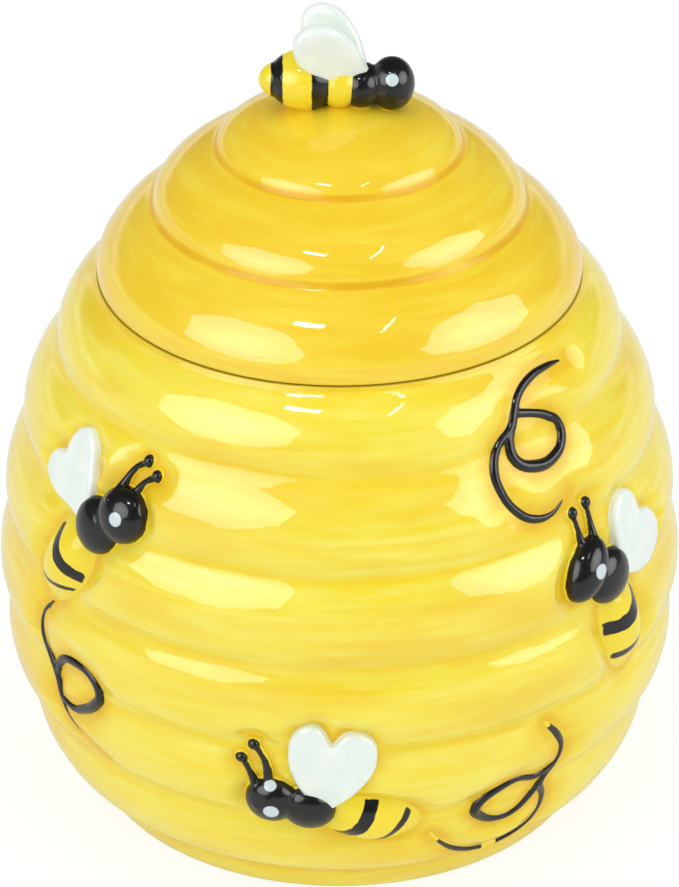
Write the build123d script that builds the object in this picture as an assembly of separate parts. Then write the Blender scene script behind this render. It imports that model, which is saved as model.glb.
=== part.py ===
from build123d import *
import math
import os

# A glazed stoneware cookie jar in the shape of a ribbed beehive, with a lift-off lid.
# A modelled bee is the lid's knob, and three bees and three flight trails stand in
# relief on the jar. Millimetres, +Z up. The origin is the middle of the foot, and the
# front is -Y. A place on the wall is an azimuth in degrees, from the front towards +X,
# and a height.

# Jar wall, measured at the grooves between the ribs
BELLY_RADIUS = 93.0
BELLY_HEIGHT = 68.0
FOOT_RADIUS = 69.5
RIM_RADIUS = 66.5
RIM_HEIGHT = 158.0
WALL = 6.0
FLOOR_THICKNESS = 7.0
FLOOR_ROUND = 8.0
RIM_LAND = 6.5
MOUTH_LAND = 3.0

# Ribs
FOOT_BAND_HEIGHT = 11.0
SHOULDER_RISE = 20.0
RIB_COUNT = 5
RIB_BULGE = 3.2
SHOULDER_BULGE = 1.2

# Foot ring and seam
FOOT_RING_WIDTH = 8.0
FOOT_RECESS = 2.0
FOOT_ROUND = 1.0
SEAM_ROUND = 1.2

# Lid
LOWER_TIER_RISE = 21.2
LOWER_TIER_TOP_RADIUS = 51.0
LOWER_TIER_BULGE = 2.8
UPPER_TIER_RISE = 16.5
UPPER_TIER_TOP_RADIUS = 33.2
UPPER_TIER_BULGE = 2.5
CROWN_ROLL_RISE = 3.2
CROWN_ROLL_INSET = 2.0
CROWN_ROLL_BULGE = 1.5
CROWN_RISE = 9.1
LID_WALL = 5.5
SKIRT_CLEARANCE = 1.5
SKIRT_THICKNESS = 4.5
SKIRT_DEPTH = 9.0

# Relief on the wall
RECESS_DEPTH = 0.4
HALO = 3.5
LUMP_LIFT = 1.0
ABDOMEN_RADIUS = 6.2
ABDOMEN_HALF_LENGTH = 12.5
ABDOMEN_REACH = 17.5
HEAD_REACH = 11.0
WING_ROOT_REACH = 6.5
WING_LOBE_RADIUS = 6.3
WING_LOBE_REACH = 19.5
WING_LOBE_SPREAD = 18.0
WING_ROOT_RADIUS = 1.5
WING_RELIEF = 2.8
ANTENNA_RADIUS = 1.0
ANTENNA_BALL_RADIUS = 1.6
TRAIL_WIDTH = 2.6
TRAIL_RELIEF = 1.2
TRAIL_BEND = 0.45
CLEARING_DEPTH = 16.0
CLEARING_HEIGHT = 14.0

# Where each bee sits and how it points. Angles are degrees up from level, turning
# anticlockwise seen from outside. An antenna is its angle, length and sideways bow.
BEES = {
    "left_bee": {
        "place": (-46.5, 112.0),
        "head_angle": 39.0,
        "tail_angle": -124.0,
        "wing_angle": 126.0,
        "head_radius": 7.2,
        "thorax_radius": 6.9,
        "antennae": ((77.0, 16.0, 1.4), (59.0, 15.0, 0.9)),
    },
    "right_bee": {
        "place": (51.5, 93.0),
        "head_angle": 143.0,
        "tail_angle": -70.0,
        "wing_angle": 50.0,
        "head_radius": 7.2,
        "thorax_radius": 6.9,
        "antennae": ((94.0, 17.0, 0.4), (75.0, 18.0, 0.4)),
    },
    "lower_bee": {
        "place": (-5.5, 40.5),
        "head_angle": 164.0,
        "tail_angle": -14.0,
        "wing_angle": 86.0,
        "head_radius": 6.3,
        "thorax_radius": 5.6,
        "antennae": ((117.0, 16.0, 0.4), (101.0, 19.5, -1.7)),
    },
}

# Each trail is a main stroke and a loop that leaves it and comes back to it
TRAILS = {
    "left_trail": (
        ((-57.5, 81), (-60, 75.5), (-60.5, 69), (-58.5, 64), (-56.5, 58.5), (-56, 51.5),
         (-54.5, 45.5), (-50.5, 42), (-45.5, 38)),
        ((-56.5, 58.5), (-54.5, 65), (-50.5, 67.5), (-46, 66), (-44.5, 61.5), (-46, 57),
         (-49, 53), (-52.5, 50.5), (-56, 51.5)),
    ),
    "upper_trail": (
        ((57, 150.5), (51, 151.5), (45, 151), (40.5, 148.5), (38, 145.5), (36, 142),
         (32, 139), (30, 134), (30.5, 127.5), (33, 122), (37, 118.5), (41.5, 118), (46, 121.5)),
        ((36, 142), (35, 138.5), (36, 134), (40, 131), (44.5, 131), (48, 134), (48.5, 138.5),
         (46.5, 142.5), (43, 145), (38, 145.5)),
    ),
    "lower_trail": (
        ((37, 57.5), (40, 51.5), (41.5, 46), (41, 41), (38.5, 35.5), (40.5, 28), (41, 21.5),
         (39.5, 15.5), (34, 12), (28.5, 12.5), (23.5, 16), (20, 20.5), (17, 26.5)),
        ((41, 41), (37, 38.5), (32.5, 40.5), (29, 39), (26, 36), (25, 33), (27, 28.5),
         (30.5, 26), (34, 26.5), (36.5, 30), (38.5, 35.5)),
    ),
}

# Knob bee: it lies along X on the crown, head towards +X
KNOB_SINK = 0.8
KNOB_ABDOMEN_X = -11.3
KNOB_ABDOMEN_HALF_LENGTH = 11.5
KNOB_ABDOMEN_RADIUS = 8.2
KNOB_THORAX_X = 4.8
KNOB_THORAX_RADIUS = 5.7
KNOB_HEAD_X = 13.0
KNOB_HEAD_HALF_HEIGHT = 7.0
KNOB_HEAD_RADIUS = 6.2
KNOB_WING_LENGTH = 24.5
KNOB_WING_RADIUS = 7.2
KNOB_WING_ROOT_RADIUS = 4.0
KNOB_WING_THICKNESS = 4.2
KNOB_WING_EDGE_ROUND = 1.7
KNOB_WING_BACK = 17.5
KNOB_WING_SPREAD = 7.5
KNOB_WING_RISE = 15.8
KNOB_WING_ROOT_HALF_GAP = 1.4
KNOB_WING_ROOT_LIFT = 3.8

# Sizes that follow from the driving ones
MOUTH_RADIUS = RIM_RADIUS - RIM_LAND
SKIRT_OUTER = MOUTH_RADIUS - SKIRT_CLEARANCE
SKIRT_INNER = SKIRT_OUTER - SKIRT_THICKNESS
RIB_PITCH = (RIM_HEIGHT - SHOULDER_RISE - FOOT_BAND_HEIGHT) / RIB_COUNT
LOWER_GROOVE = (LOWER_TIER_TOP_RADIUS, RIM_HEIGHT + LOWER_TIER_RISE)
UPPER_GROOVE = (UPPER_TIER_TOP_RADIUS, LOWER_GROOVE[1] + UPPER_TIER_RISE)
CROWN_EDGE = (UPPER_TIER_TOP_RADIUS - CROWN_ROLL_INSET, UPPER_GROOVE[1] + CROWN_ROLL_RISE)
CROWN_TOP = CROWN_EDGE[1] + CROWN_RISE


def bow(belly_radius, end_radius, end_height):
    """Radius by height on an arc that stands upright at the belly and ends at a point."""
    depth = belly_radius - end_radius
    reach = end_height - BELLY_HEIGHT
    arc_radius = (depth**2 + reach**2) / (2 * depth)
    return lambda height: (
        belly_radius - arc_radius + math.sqrt(arc_radius**2 - (height - BELLY_HEIGHT) ** 2)
    )


def core_radius(height, depth=RECESS_DEPTH):
    """Radius of the smooth wall at a height, a depth below the bottoms of the grooves."""
    end_radius, end_height = (RIM_RADIUS, RIM_HEIGHT) if height > BELLY_HEIGHT else (FOOT_RADIUS, 0)
    return bow(BELLY_RADIUS - depth, end_radius - depth, end_height)(height)


def in_section(point):
    """A point of the turned section, as radius and height, in the XZ plane."""
    return (point[0], 0, point[1])


def bow_edge(radius_at, low, high):
    """Section edge along a bow between two heights."""
    return ThreePointArc(*[in_section((radius_at(h), h)) for h in (low, (low + high) / 2, high)])


def rib_edge(low, high, bulge):
    """Section edge that swells out between two grooves."""
    run, rise = high[0] - low[0], high[1] - low[1]
    length = math.hypot(run, rise)
    crest = (
        (low[0] + high[0]) / 2 + bulge * rise / length,
        (low[1] + high[1]) / 2 - bulge * run / length,
    )
    return ThreePointArc(in_section(low), in_section(crest), in_section(high))


def dome_radius(edge, top):
    """Radius of the ball whose cap is level at the top and ends at an edge."""
    rise = top - edge[1]
    return (edge[0] ** 2 + rise**2) / (2 * rise)


def dome_height(radius, edge, top):
    """Height of a dome at a radius from the axis."""
    ball = dome_radius(edge, top)
    return top - ball + math.sqrt(ball**2 - radius**2)


def dome_edge(edge, top):
    """Section edge of a dome, from its rim to the axis."""
    middle = edge[0] / 2
    return ThreePointArc(
        in_section(edge), in_section((middle, dome_height(middle, edge, top))), in_section((0, top))
    )


def section_lines(*points):
    """Straight section edges through points given as radius and height."""
    return Polyline(*[in_section(point) for point in points])


def turned(*edges):
    """Solid turned about the axis from the edges of its section."""
    return revolve(make_face(Curve() + [edge for line in edges for edge in line.edges()]), Axis.Z)


def turned_wall(depth, top=RIM_HEIGHT):
    """The smooth jar without ribs, solid through, a depth below the groove bottoms."""
    lower = bow(BELLY_RADIUS - depth, FOOT_RADIUS - depth, 0)
    upper = bow(BELLY_RADIUS - depth, RIM_RADIUS - depth, RIM_HEIGHT)
    return turned(
        section_lines((0, top), (0, 0), (lower(0), 0)),
        bow_edge(lower, 0, BELLY_HEIGHT),
        bow_edge(upper, BELLY_HEIGHT, top),
        section_lines((upper(top), top), (0, top)),
    )


def turned_ribs():
    """The ribbed jar before relief, solid through."""
    grooves = [FOOT_BAND_HEIGHT + i * RIB_PITCH for i in range(RIB_COUNT + 1)]
    points = [(core_radius(height, 0), height) for height in grooves]
    rim = (RIM_RADIUS, RIM_HEIGHT)
    ribs = [rib_edge(low, high, RIB_BULGE) for low, high in zip(points, points[1:])]
    return turned(
        section_lines((0, RIM_HEIGHT), (0, 0), (FOOT_RADIUS, 0), points[0]),
        *ribs,
        rib_edge(points[-1], rim, SHOULDER_BULGE),
        section_lines(rim, (0, RIM_HEIGHT)),
    )


def cavity():
    """The space inside the jar, with a rounded floor and a short upright mouth."""
    floor_radius = core_radius(FLOOR_THICKNESS, 0) - WALL
    mouth_start = RIM_HEIGHT - MOUTH_LAND
    lower = bow(BELLY_RADIUS - WALL, floor_radius, FLOOR_THICKNESS)
    upper = bow(BELLY_RADIUS - WALL, MOUTH_RADIUS, mouth_start)
    space = turned(
        section_lines((0, RIM_HEIGHT), (0, FLOOR_THICKNESS), (floor_radius, FLOOR_THICKNESS)),
        bow_edge(lower, FLOOR_THICKNESS, BELLY_HEIGHT),
        bow_edge(upper, BELLY_HEIGHT, mouth_start),
        section_lines((MOUTH_RADIUS, mouth_start), (MOUTH_RADIUS, RIM_HEIGHT), (0, RIM_HEIGHT)),
    )
    return fillet(space.edges().filter_by(GeomType.CIRCLE).sort_by(Axis.Z)[0], FLOOR_ROUND)


def site(place, lift=0.0):
    """Plane on the recessed wall: X along the wall, Y up it, Z out of it."""
    azimuth, height = math.radians(place[0]), place[1]
    radius = core_radius(height)
    step = 0.01
    slope = (core_radius(height + step) - core_radius(height - step)) / (2 * step)
    steepness = math.hypot(1, slope)
    normal = Vector(math.sin(azimuth), -math.cos(azimuth), -slope) / steepness
    foot = Vector(radius * math.sin(azimuth), -radius * math.cos(azimuth), height)
    return Plane(
        foot + normal * lift, x_dir=(math.cos(azimuth), math.sin(azimuth), 0), z_dir=normal
    )


def walk(place, angle, distance):
    """Place reached by going a distance over the wall at an angle up from level."""
    rise = distance * math.sin(math.radians(angle))
    across = distance * math.cos(math.radians(angle))
    radius = core_radius(place[1] + rise / 2)
    return (place[0] + math.degrees(across / radius), place[1] + rise)


def flat(plane, place):
    """A wall place as 2-D coordinates on a plane."""
    point = plane.to_local_coords(site(place).origin)
    return Vector(point.X, point.Y)


def oval(along, across, upright):
    """Oval body, a unit ball stretched along each axis."""
    return scale(Sphere(1), by=(along, across, upright))


def slot(start, end, width):
    """Round-ended strip between two 2-D points."""
    middle, run = (start + end) / 2, end - start
    turn = math.degrees(math.atan2(run.Y, run.X))
    return Pos(middle.X, middle.Y) * Rot(Z=turn) * SlotCenterToCenter(run.length, width)


def teardrop(root, lobe, root_radius, lobe_radius):
    """Outline of one wing: a small and a large circle wrapped together."""
    circles = Pos(*root) * CenterArc((0, 0), root_radius, 0, 360)
    circles += Pos(*lobe) * CenterArc((0, 0), lobe_radius, 0, 360)
    return make_hull(circles.edges())


def wing_lobes(bee, plane):
    """Root and lobe centres of a bee's two wings on a plane."""
    root = walk(bee["place"], bee["tail_angle"], WING_ROOT_REACH)
    lobes = [
        walk(root, bee["wing_angle"] + side * WING_LOBE_SPREAD, WING_LOBE_REACH) for side in (-1, 1)
    ]
    return flat(plane, root), [flat(plane, lobe) for lobe in lobes]


def heart(bee, plane, margin=0.0):
    """Heart-shaped outline of a bee's pair of wings, grown by a margin."""
    root, lobes = wing_lobes(bee, plane)
    return Sketch() + [
        teardrop((root.X, root.Y), (lobe.X, lobe.Y), WING_ROOT_RADIUS + margin,
                 WING_LOBE_RADIUS + margin)
        for lobe in lobes
    ]


def head_place(bee):
    """Where a relief bee's head sits on the wall."""
    return walk(bee["place"], bee["head_angle"], HEAD_REACH)


def bee_clearing(bee):
    """Prism that stops the ribs short of a relief bee."""
    plane = site(bee["place"])
    head = head_place(bee)
    tail = walk(
        bee["place"], bee["tail_angle"], ABDOMEN_REACH + ABDOMEN_HALF_LENGTH - ABDOMEN_RADIUS
    )
    outline = heart(bee, plane, HALO)
    outline += slot(flat(plane, bee["place"]), flat(plane, tail), 2 * (ABDOMEN_RADIUS + HALO))
    outline += slot(
        flat(plane, bee["place"]), flat(plane, head), 2 * (bee["head_radius"] + HALO / 2)
    )
    for angle, length, _ in bee["antennae"]:
        tip = walk(head, angle, length)
        outline += slot(flat(plane, head), flat(plane, tip), 2 * (ANTENNA_BALL_RADIUS + HALO))
    return clearing(plane, outline)


def clearing(plane, outline):
    """Outline pushed through the rib layer, from below the wall to above the crests."""
    lowered = Plane(plane.origin - plane.z_dir * CLEARING_DEPTH, x_dir=plane.x_dir, z_dir=plane.z_dir)
    return extrude(lowered * outline, CLEARING_DEPTH + CLEARING_HEIGHT)


def bend_radii(points):
    """Radius of each corner of a stroke, as large as its two runs allow."""
    radii = []
    for before, here, after in zip(points, points[1:], points[2:]):
        turn = math.radians((here - before).get_angle(after - here))
        run = min((here - before).length, (after - here).length)
        radii.append(TRAIL_BEND * run / math.tan(turn / 2))
    return radii


def ribbon(points, width):
    """Flat stroke of even width along rounded corners, with round ends."""
    corners = [(point.X, point.Y) for point in points]
    line = FilletPolyline(*corners, radius=bend_radii(points))
    ends = [Pos(*corner) * Circle(width / 2) for corner in (corners[0], corners[-1])]
    return Sketch() + trace(line, width) + ends


def trail_middle(strokes):
    """Place in the middle of a trail, for its drawing plane."""
    places = [place for stroke in strokes for place in stroke]
    return tuple(sum(place[i] for place in places) / len(places) for i in (0, 1))


def trail(strokes):
    """Raised bead of a flight trail, lying on the wall."""
    plane = site(trail_middle(strokes))
    outline = Sketch() + [
        ribbon([flat(plane, place) for place in stroke], TRAIL_WIDTH) for stroke in strokes
    ]
    return clearing(plane, outline) & turned_wall(RECESS_DEPTH - TRAIL_RELIEF)


def trail_clearing(strokes):
    """Prism that stops the ribs short of a trail."""
    plane = site(trail_middle(strokes))
    outline = Sketch()
    for stroke in strokes:
        points = [flat(plane, place) for place in stroke]
        outline += [slot(a, b, TRAIL_WIDTH + 2 * HALO) for a, b in zip(points, points[1:])]
    return clearing(plane, outline)


def antenna(bee, angle, length, bow_out):
    """One feeler: a bent wire of clay with a ball at its end, lying on the wall."""
    head = head_place(bee)
    tip = walk(head, angle, length)
    middle = walk(walk(head, angle, length / 2), angle + 90, bow_out)
    points = [site(place, ANTENNA_RADIUS / 2).origin for place in (head, middle, tip)]
    wire = [Pos(*points[1]) * Sphere(ANTENNA_RADIUS), Pos(*points[2]) * Sphere(ANTENNA_BALL_RADIUS)]
    for start, end in zip(points, points[1:]):
        run = end - start
        wire.append(extrude(Plane(start, z_dir=run) * Circle(ANTENNA_RADIUS), run.length))
    return Part() + wire


def relief_bee(bee, wall):
    """The separate clay pieces of one bee, each seated on the wall and on its neighbours."""
    head_frame = site(head_place(bee), LUMP_LIFT)
    tail_frame = site(walk(bee["place"], bee["tail_angle"], ABDOMEN_REACH))
    head = head_frame * Sphere(bee["head_radius"]) - wall
    thorax = site(bee["place"], LUMP_LIFT) * Sphere(bee["thorax_radius"]) - wall - head
    abdomen = tail_frame * Rot(Z=bee["tail_angle"]) * oval(
        ABDOMEN_HALF_LENGTH, ABDOMEN_RADIUS, ABDOMEN_RADIUS
    )
    abdomen = abdomen - wall - thorax
    wing_plane = site(bee["place"])
    wings = clearing(wing_plane, heart(bee, wing_plane)) & turned_wall(RECESS_DEPTH - WING_RELIEF)
    wings = wings - wall - abdomen - thorax - head
    antennae = [antenna(bee, *feeler) - wall - head for feeler in bee["antennae"]]
    return {
        "head": head,
        "thorax": thorax,
        "abdomen": abdomen,
        "wings": wings,
        "antennae": Compound(antennae),
    }


def jar_body(wall):
    """The jar: ribs that stop short of each relief, a hollow inside and a foot ring."""
    cuts = [bee_clearing(bee) for bee in BEES.values()]
    cuts += [trail_clearing(strokes) for strokes in TRAILS.values()]
    body = turned_ribs() - cuts + wall - cavity()
    body -= Cylinder(
        FOOT_RADIUS - FOOT_RING_WIDTH, FOOT_RECESS, align=(Align.CENTER, Align.CENTER, Align.MIN)
    )
    rims = body.edges().filter_by(GeomType.CIRCLE)
    body = fillet(rims.filter_by(lambda edge: is_ring(edge, RIM_RADIUS, RIM_HEIGHT)), SEAM_ROUND)
    feet = body.edges().filter_by(GeomType.CIRCLE)
    return fillet(feet.filter_by(lambda edge: is_ring(edge, FOOT_RADIUS, 0)), FOOT_ROUND)


def is_ring(edge, radius, height):
    """Whether an edge is the circle of a given radius and height about the axis."""
    return abs(edge.radius - radius) < 0.01 and abs(edge.arc_center.Z - height) < 0.01


def seated(groove, low, high):
    """Point of the lid's inner face, square in from a groove of its outer face."""
    run, rise = high[0] - low[0], high[1] - low[1]
    length = math.hypot(run, rise)
    return (groove[0] - LID_WALL * rise / length, groove[1] + LID_WALL * run / length)


def lid():
    """The lid: two ribbed tiers and a crown outside, hollow, with a ring that enters the mouth."""
    rim = (RIM_RADIUS, RIM_HEIGHT)
    skirt_foot = RIM_HEIGHT - SKIRT_DEPTH
    lower_inside = seated(LOWER_GROOVE, rim, UPPER_GROOVE)
    upper_inside = seated(UPPER_GROOVE, LOWER_GROOVE, (0, CROWN_TOP))
    crown_inside = CROWN_TOP - LID_WALL
    shell = turned(
        rib_edge(rim, LOWER_GROOVE, LOWER_TIER_BULGE),
        rib_edge(LOWER_GROOVE, UPPER_GROOVE, UPPER_TIER_BULGE),
        rib_edge(UPPER_GROOVE, CROWN_EDGE, CROWN_ROLL_BULGE),
        dome_edge(CROWN_EDGE, CROWN_TOP),
        section_lines((0, CROWN_TOP), (0, crown_inside)),
        dome_edge(upper_inside, crown_inside),
        section_lines(upper_inside, lower_inside, (SKIRT_INNER, RIM_HEIGHT), (SKIRT_INNER, skirt_foot),
                      (SKIRT_OUTER, skirt_foot), (SKIRT_OUTER, RIM_HEIGHT), rim),
    )
    rims = shell.edges().filter_by(GeomType.CIRCLE)
    return fillet(rims.filter_by(lambda edge: is_ring(edge, RIM_RADIUS, RIM_HEIGHT)), SEAM_ROUND)


def on_crown(x, radius):
    """Centre of a ball that is pressed a little into the crown at a distance along X."""
    return Pos(x, 0, dome_height(abs(x), CROWN_EDGE, CROWN_TOP) + radius - KNOB_SINK)


def knob_wing(side):
    """One thick wing, leaning back over the abdomen and out to its side."""
    lean = Vector(-KNOB_WING_BACK, side * KNOB_WING_SPREAD, KNOB_WING_RISE).normalized()
    across = Vector(0, 1, 0).cross(lean).normalized()
    thorax = on_crown(KNOB_THORAX_X, KNOB_THORAX_RADIUS).position
    root = thorax + Vector(0, side * KNOB_WING_ROOT_HALF_GAP, KNOB_WING_ROOT_LIFT)
    lobe_reach = KNOB_WING_LENGTH - KNOB_WING_RADIUS
    outline = teardrop((0, 0), (lobe_reach, 0), KNOB_WING_ROOT_RADIUS, KNOB_WING_RADIUS)
    plane = Plane(root, x_dir=lean, z_dir=lean.cross(across))
    plate = extrude(plane * outline, KNOB_WING_THICKNESS / 2, both=True)
    return fillet(plate.edges(), KNOB_WING_EDGE_ROUND)


def knob_bee():
    """The clay pieces of the bee on the lid, each seated on the crown and its neighbours."""
    crown_ball = dome_radius(CROWN_EDGE, CROWN_TOP)
    # The balls are turned so that their poles and seams lie clear of the other pieces
    seat = Pos(0, 0, CROWN_TOP - crown_ball) * Rot(X=90) * Sphere(crown_ball)
    abdomen = on_crown(KNOB_ABDOMEN_X, KNOB_ABDOMEN_RADIUS) * oval(
        KNOB_ABDOMEN_HALF_LENGTH, KNOB_ABDOMEN_RADIUS, KNOB_ABDOMEN_RADIUS
    )
    thorax = on_crown(KNOB_THORAX_X, KNOB_THORAX_RADIUS) * Rot(Z=90) * Sphere(KNOB_THORAX_RADIUS)
    head = on_crown(KNOB_HEAD_X, KNOB_HEAD_HALF_HEIGHT) * oval(
        KNOB_HEAD_RADIUS, KNOB_HEAD_RADIUS, KNOB_HEAD_HALF_HEIGHT
    )
    abdomen = abdomen - seat
    head = head - seat
    thorax = thorax - seat - abdomen - head
    front_wing = knob_wing(-1) - abdomen - thorax - head
    rear_wing = knob_wing(1) - abdomen - thorax - head - front_wing
    return {
        "abdomen": abdomen,
        "thorax": thorax,
        "head": head,
        "front_wing": front_wing,
        "rear_wing": rear_wing,
    }


wall = turned_wall(RECESS_DEPTH)
nodes = {"jar_body": jar_body(wall), "lid": lid()}
for name, piece in knob_bee().items():
    nodes["knob_bee_" + name] = piece
for bee_name, bee in BEES.items():
    for name, piece in relief_bee(bee, wall).items():
        nodes[bee_name + "_" + name] = piece
for trail_name, strokes in TRAILS.items():
    nodes[trail_name] = trail(strokes) - wall

os.makedirs("parts", exist_ok=True)
for node, shape in nodes.items():
    export_step(shape, f"parts/{node}.step")
    print(f"{node}: {len(shape.solids())} solids, {shape.volume:.1f} mm3")
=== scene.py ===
import math

import bmesh
import bpy
from mathutils import Matrix, Vector


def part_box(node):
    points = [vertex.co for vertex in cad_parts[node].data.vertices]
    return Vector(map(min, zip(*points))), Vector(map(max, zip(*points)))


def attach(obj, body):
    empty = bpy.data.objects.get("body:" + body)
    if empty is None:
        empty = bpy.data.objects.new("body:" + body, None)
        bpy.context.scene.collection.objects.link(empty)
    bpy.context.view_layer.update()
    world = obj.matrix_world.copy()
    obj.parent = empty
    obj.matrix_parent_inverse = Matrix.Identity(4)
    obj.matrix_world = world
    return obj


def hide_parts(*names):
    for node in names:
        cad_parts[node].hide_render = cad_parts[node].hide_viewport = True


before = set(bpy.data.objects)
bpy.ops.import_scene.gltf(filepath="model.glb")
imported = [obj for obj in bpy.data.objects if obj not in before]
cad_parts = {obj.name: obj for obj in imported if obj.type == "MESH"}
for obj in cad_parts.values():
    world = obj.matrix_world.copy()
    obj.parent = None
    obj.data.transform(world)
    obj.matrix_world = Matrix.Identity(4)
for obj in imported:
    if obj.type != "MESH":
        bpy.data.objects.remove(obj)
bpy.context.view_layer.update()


# The camera. It looks down on the front of the jar from a little over a metre away,
# through a long lens.
CAMERA_TARGET = Vector((0, 0, 0.1016))
CAMERA_DISTANCE = 1.243
CAMERA_ELEVATION = math.radians(30.6)
LENS = 180.2
SENSOR = 36.0

camera = bpy.data.objects.new("camera", bpy.data.cameras.new("camera"))
camera.data.lens = LENS
camera.data.sensor_width = SENSOR
camera.data.clip_end = 50
camera_step = Vector((0, -math.cos(CAMERA_ELEVATION), math.sin(CAMERA_ELEVATION)))
camera.location = CAMERA_TARGET + camera_step * CAMERA_DISTANCE
camera.rotation_euler = (math.pi / 2 - CAMERA_ELEVATION, 0, 0)
bpy.context.scene.collection.objects.link(camera)
bpy.context.scene.camera = camera
bpy.context.scene.view_settings.view_transform = "Standard"


# The wall of the jar. It is a hive turned from one smooth bow, and the ribs swell out of it.
# Sizes are in millimetres until a piece is finished. A place on the wall is an azimuth in
# degrees, from the front towards the right, and a height.
MM = 0.001
BELLY_RADIUS = 93.0
BELLY_HEIGHT = 68.0
FOOT_RADIUS = 69.5
RIM_RADIUS = 66.5
RIM_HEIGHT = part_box("jar_body")[1].z / MM
HOLLOW_DEPTH = 0.4


def bow_radius(height, inset=0.0):
    """Radius of the smooth wall at a height."""
    end_radius, end_height = (RIM_RADIUS, RIM_HEIGHT) if height > BELLY_HEIGHT else (FOOT_RADIUS, 0)
    depth = BELLY_RADIUS - end_radius
    reach = end_height - BELLY_HEIGHT
    arc = (depth**2 + reach**2) / (2 * depth)
    return BELLY_RADIUS - inset - arc + math.sqrt(arc**2 - (height - BELLY_HEIGHT) ** 2)


def bow_lean(height):
    """How much the smooth wall leans in, as radius lost for each millimetre of height."""
    return bow_radius(height - 0.5) - bow_radius(height + 0.5)


def out_of_wall(azimuth, height):
    """Unit vector square out of the smooth wall."""
    lean = bow_lean(height)
    turn = math.radians(azimuth)
    return Vector((math.sin(turn), -math.cos(turn), lean)).normalized()


def on_wall(azimuth, height, lift=0.0):
    """Point over the hollowed wall."""
    turn = math.radians(azimuth)
    radius = bow_radius(height, HOLLOW_DEPTH)
    foot = Vector((radius * math.sin(turn), -radius * math.cos(turn), height))
    return foot + out_of_wall(azimuth, height) * lift


def over_wall(point):
    """Height of a point over the hollowed wall, and the direction out of the wall there."""
    azimuth = math.degrees(math.atan2(point.x, -point.y))
    height = point.z
    for _ in range(3):
        outward = out_of_wall(azimuth, height)
        lift = (point - on_wall(azimuth, height)).dot(outward)
        height = point.z - lift * outward.z
    return lift, outward


# The layout of the relief. Each bee has a place on the wall. Its lumps of clay are given from
# there, in millimetres along and up the wall, and the modeller hollows the ribs round them.
# Each trail is a long line, and a loop that leaves it and meets it again.
BEES = {
    "left_bee": {
        "place": (-46.5, 112.0),
        "head": (7.3, 5.3, 20),
        "head_size": (8.0, 7.6, 5.8),
        "thorax": (-1.4, -0.8, 0),
        "thorax_size": (7.8, 7.8, 4.6),
        "tail": (-12.3, -15.6, -122),
        "tail_size": (16.5, 9.7, 5.4),
        "bands": ((-5.0, -1.6, 0.25), (6.0, 7.8, -0.3)),
        "eyes": ((9.0, 5.3, 6.4, 1.8),),
        "antennae": (((4.6, 8.5), (5.2, 12.8), (7.4, 17.6), (11.6, 20.8)),
                     ((9.5, 7.8), (9.3, 10.9), (11.8, 15.2), (15.6, 18.0))),
        "wings": ((-7.0, -2.0), (-13.5, -0.5), (-21.5, 0.5), (-27.6, 4.6), (-26.0, 9.9),
                  (-20.5, 11.8), (-19.4, 17.0), (-14.6, 20.8), (-9.4, 18.8), (-6.4, 12.6),
                  (-5.0, 4.0)),
        "notch": 5,
    },
    "right_bee": {
        "place": (51.5, 93.0),
        "head": (-7.8, 6.2, 50),
        "head_size": (9.4, 6.3, 5.8),
        "thorax": (1.6, 0.2, 20),
        "thorax_size": (8.2, 7.6, 4.6),
        "tail": (7.0, -17.0, -73),
        "tail_size": (17.0, 9.8, 5.4),
        "bands": ((-6.8, -2.6, -0.2), (4.6, 7.2, -0.25)),
        "eyes": ((-7.4, 6.4, 6.6, 2.0),),
        "antennae": (((-8.6, 7.0), (-7.8, 12.7), (-8.2, 17.8), (-9.0, 22.4)),
                     ((-4.4, 8.6), (-3.0, 13.8), (-2.7, 18.7), (-3.0, 23.2))),
        "wings": ((9.0, -3.0), (6.6, 2.0), (5.6, 8.5), (6.9, 15.6), (11.6, 19.8),
                  (16.8, 18.4), (19.8, 11.4), (26.0, 8.4), (30.0, 1.0), (25.0, -4.4),
                  (17.0, -5.6)),
        "notch": 6,
    },
    "lower_bee": {
        "place": (-5.5, 40.5),
        "head": (-9.4, 3.2, 10),
        "head_size": (7.2, 7.0, 5.4),
        "thorax": (0.2, 0.6, -15),
        "thorax_size": (7.6, 6.8, 5.0),
        "tail": (17.0, -5.2, -14),
        "tail_size": (15.6, 9.4, 5.2),
        "bands": ((-6.0, -2.4, 0.5), (4.4, 7.0, 0.75)),
        "eyes": ((-8.7, 3.2, 6.3, 2.0), (-9.2, 9.6, 3.0, 1.6)),
        "antennae": (((-12.4, 4.0), (-13.7, 8.6), (-15.3, 12.4), (-17.1, 16.5)),
                     ((-9.4, 6.0), (-10.0, 11.0), (-11.0, 16.6), (-13.6, 21.4))),
        "wings": ((6.1, 0.6), (0.4, 5.0), (-3.4, 12.0), (-4.6, 20.1), (-2.6, 27.0), (2.0, 29.2),
                  (6.6, 22.4), (11.4, 26.8), (16.6, 25.0), (18.2, 17.6), (14.0, 8.4)),
        "notch": 6,
    },
}

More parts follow.
